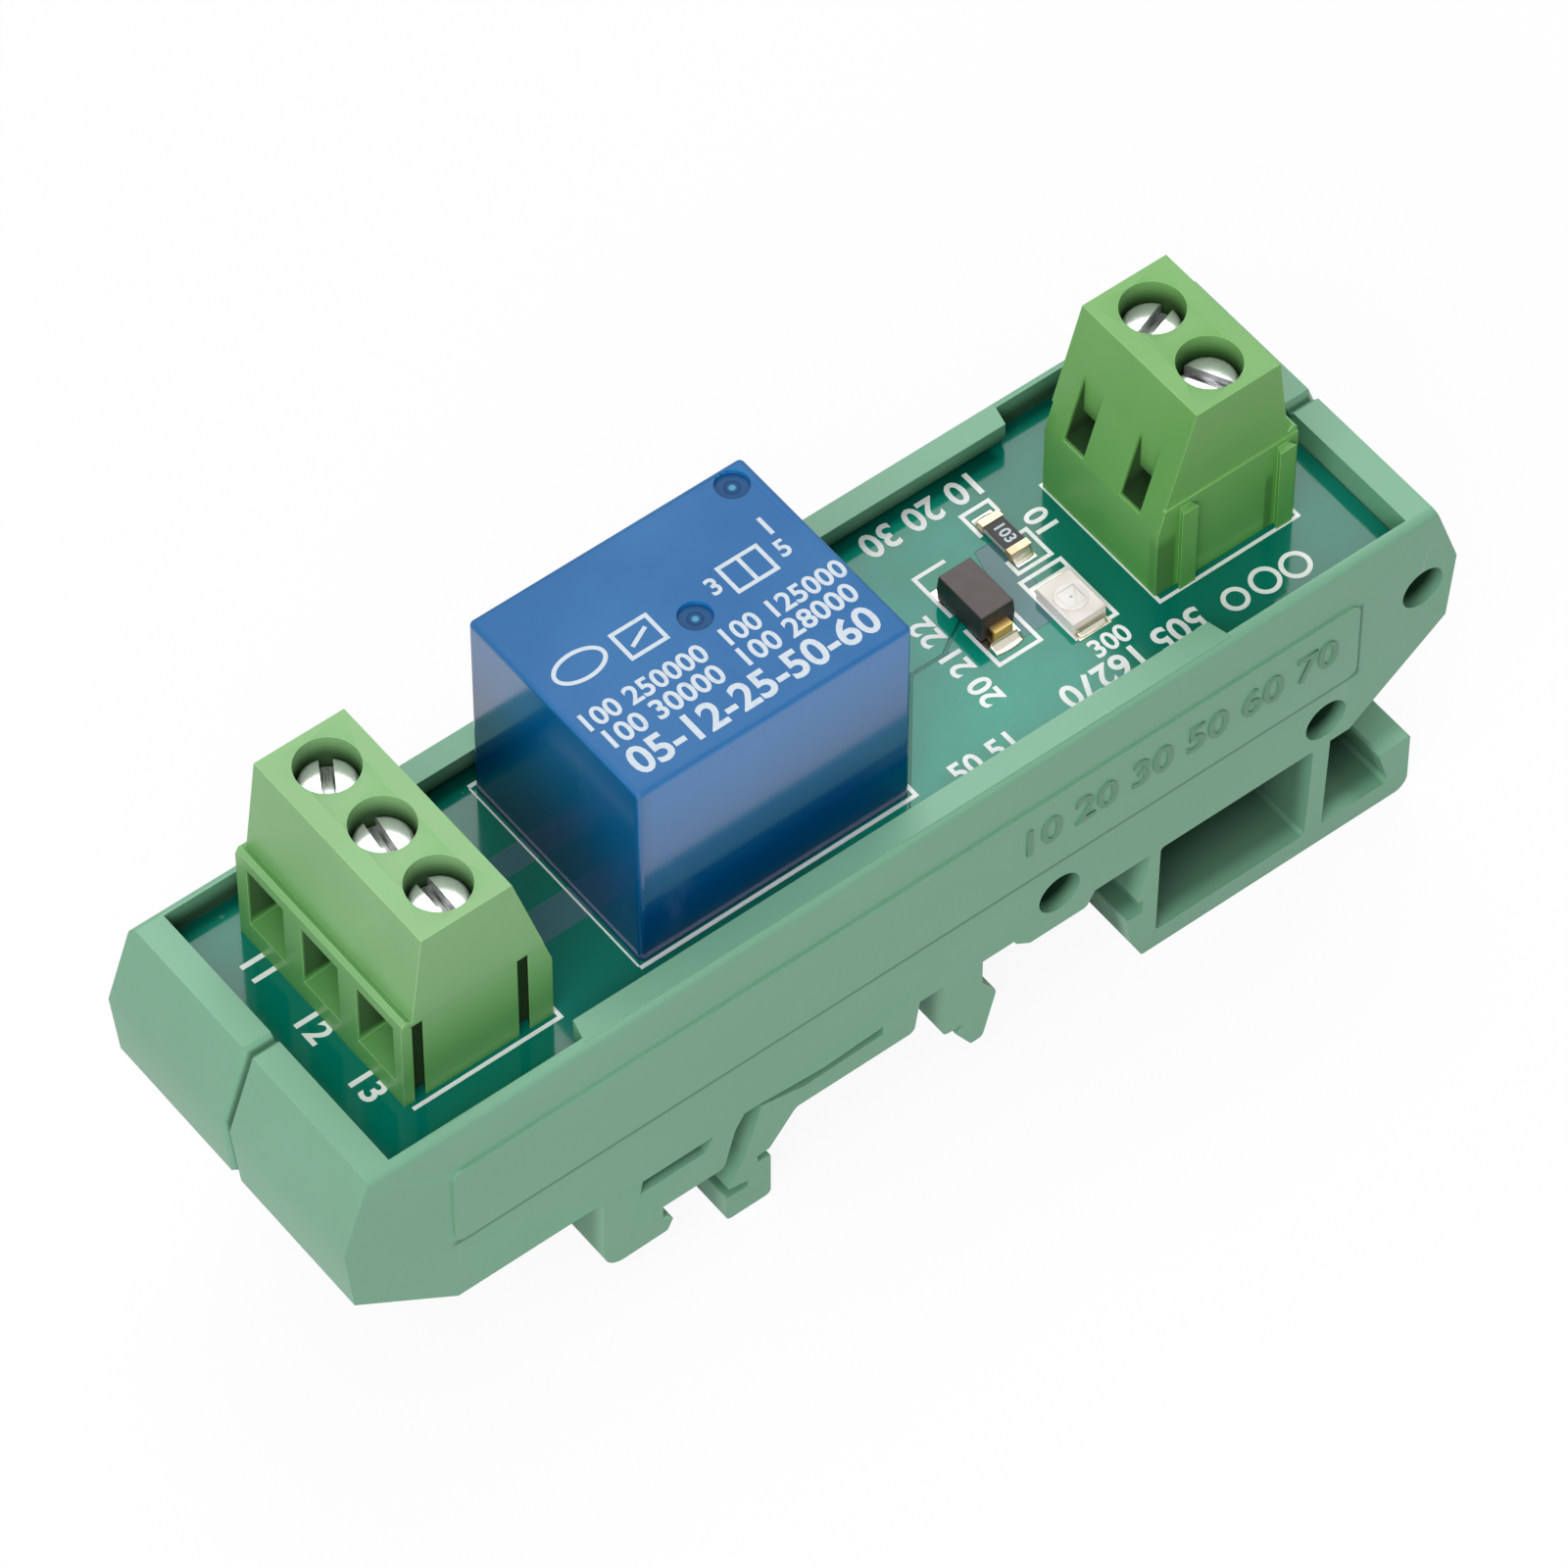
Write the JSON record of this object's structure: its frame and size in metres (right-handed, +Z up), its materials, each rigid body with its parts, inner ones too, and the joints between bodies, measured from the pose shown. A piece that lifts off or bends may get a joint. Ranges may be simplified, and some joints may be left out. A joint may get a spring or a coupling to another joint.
{
  "type": "relay module board",
  "caption": "Relay on a circuit board with screw terminals at both ends, carried in a moulded two-part tray whose feet clip onto a mounting rail.",
  "frame": {"origin": "centre of the bounding box's base, on the plane that the box foot and the latch head stand on", "axes": "+X along the module from the contact terminal to the supply terminal, +Y across it from the side face with round sockets to the plain one, +Z up"},
  "size_m": [0.08, 0.0228, 0.0388],
  "materials": {
    "carrier_green": "satin moulded plastic",
    "board_green": "glossy solder mask",
    "terminal_light_green": "satin moulded plastic",
    "terminal_green": "satin moulded plastic",
    "screw_nickel": "bright nickel plate",
    "cage_nickel": "nickel plate",
    "tinned_brass": "tin plate over brass",
    "solder": "satin solder",
    "pad_tin": "satin tin",
    "relay_blue": "glossy tinted plastic",
    "relay_black": "matte plastic",
    "bobbin_white": "matte plastic",
    "copper_wire": "enamelled copper wire",
    "relay_iron": "soft iron, plated",
    "spring_brass": "spring bronze",
    "chip_black": "glazed chip",
    "diode_black": "moulded plastic",
    "gold_lead": "gold-coloured plate",
    "lamp_white": "moulded plastic",
    "lamp_lens": "clear resin over a phosphor"
  },
  "bodies": {
    "module": {"side_element_front": "carrier_green", "side_element_back": "carrier_green", "circuit_board": "board_green", "solder_joints": "solder", "solder_pads": "pad_tin", "contact_terminal_body": "terminal_light_green", "supply_terminal_body": "terminal_green", "relay_cover": "relay_blue", "relay_base": "relay_black", "relay_bobbin": "bobbin_white", "relay_coil_winding": "copper_wire", "relay_core": "relay_iron", "relay_yoke": "relay_iron", "relay_no_contact": "spring_brass", "relay_nc_contact": "spring_brass", "relay_common_pin": "spring_brass", "relay_coil_pins": "tinned_brass", "chip_resistor": "chip_black", "resistor_end_caps": "pad_tin", "diode_body": "diode_black", "diode_leads": "gold_lead", "led_package": "lamp_white", "led_lens": "lamp_lens", "led_terminals": "gold_lead", "contact_terminal_pin_1": "tinned_brass", "contact_terminal_pin_2": "tinned_brass", "contact_terminal_pin_3": "tinned_brass", "supply_terminal_pin_1": "tinned_brass", "supply_terminal_pin_2": "tinned_brass"},
    "armature": {"relay_armature": "relay_iron", "relay_contact_spring": "spring_brass"},
    "contact_screw_1": {"contact_clamp_screw_1": "screw_nickel"},
    "contact_cage_1": {"contact_wire_cage_1": "cage_nickel"},
    "contact_screw_2": {"contact_clamp_screw_2": "screw_nickel"},
    "contact_cage_2": {"contact_wire_cage_2": "cage_nickel"},
    "contact_screw_3": {"contact_clamp_screw_3": "screw_nickel"},
    "contact_cage_3": {"contact_wire_cage_3": "cage_nickel"},
    "supply_screw_1": {"supply_clamp_screw_1": "screw_nickel"},
    "supply_cage_1": {"supply_wire_cage_1": "cage_nickel"},
    "supply_screw_2": {"supply_clamp_screw_2": "screw_nickel"},
    "supply_cage_2": {"supply_wire_cage_2": "cage_nickel"}
  },
  "joints": [
    {"name": "contact_screw_1_turn", "type": "hinge", "parent": "module", "child": "contact_screw_1", "pos_m": [-0.0281, 0.00553, 0.0363], "axis": [0, 0, -1], "range_deg": [0, 1800]},
    {"name": "contact_cage_1_rise", "type": "slide", "parent": "module", "child": "contact_cage_1", "axis": [0, 0, 1], "range_m": [0, 0.0025]},
    {"name": "contact_screw_2_turn", "type": "hinge", "parent": "module", "child": "contact_screw_2", "pos_m": [-0.0281, 0.00045, 0.0363], "axis": [0, 0, -1], "range_deg": [0, 1800]},
    {"name": "contact_cage_2_rise", "type": "slide", "parent": "module", "child": "contact_cage_2", "axis": [0, 0, 1], "range_m": [0, 0.0025]},
    {"name": "contact_screw_3_turn", "type": "hinge", "parent": "module", "child": "contact_screw_3", "pos_m": [-0.0281, -0.00463, 0.0363], "axis": [0, 0, -1], "range_deg": [0, 1800]},
    {"name": "contact_cage_3_rise", "type": "slide", "parent": "module", "child": "contact_cage_3", "axis": [0, 0, 1], "range_m": [0, 0.0025]},
    {"name": "supply_screw_1_turn", "type": "hinge", "parent": "module", "child": "supply_screw_1", "pos_m": [0.0281, 0.00299, 0.0363], "axis": [0, 0, -1], "range_deg": [0, 1800]},
    {"name": "supply_cage_1_rise", "type": "slide", "parent": "module", "child": "supply_cage_1", "axis": [0, 0, 1], "range_m": [0, 0.0025]},
    {"name": "supply_screw_2_turn", "type": "hinge", "parent": "module", "child": "supply_screw_2", "pos_m": [0.0281, -0.00209, 0.0363], "axis": [0, 0, -1], "range_deg": [0, 1800]},
    {"name": "supply_cage_2_rise", "type": "slide", "parent": "module", "child": "supply_cage_2", "axis": [0, 0, 1], "range_m": [0, 0.0025]},
    {"name": "armature_swing", "type": "hinge", "parent": "module", "child": "armature", "pos_m": [-0.0133, 0.00045, 0.03421], "axis": [0, 1, 0], "range_deg": [0, 2.5], "stiffness_Nm_per_rad": 0.002, "springref_deg": -8.59}
  ],
  "couplings": [
    {"joint": "contact_screw_1_turn", "follows": "contact_cage_1_rise", "rad_per_m": 12566},
    {"joint": "contact_screw_2_turn", "follows": "contact_cage_2_rise", "rad_per_m": 12566},
    {"joint": "contact_screw_3_turn", "follows": "contact_cage_3_rise", "rad_per_m": 12566},
    {"joint": "supply_screw_1_turn", "follows": "supply_cage_1_rise", "rad_per_m": 12566},
    {"joint": "supply_screw_2_turn", "follows": "supply_cage_2_rise", "rad_per_m": 12566}
  ]
}
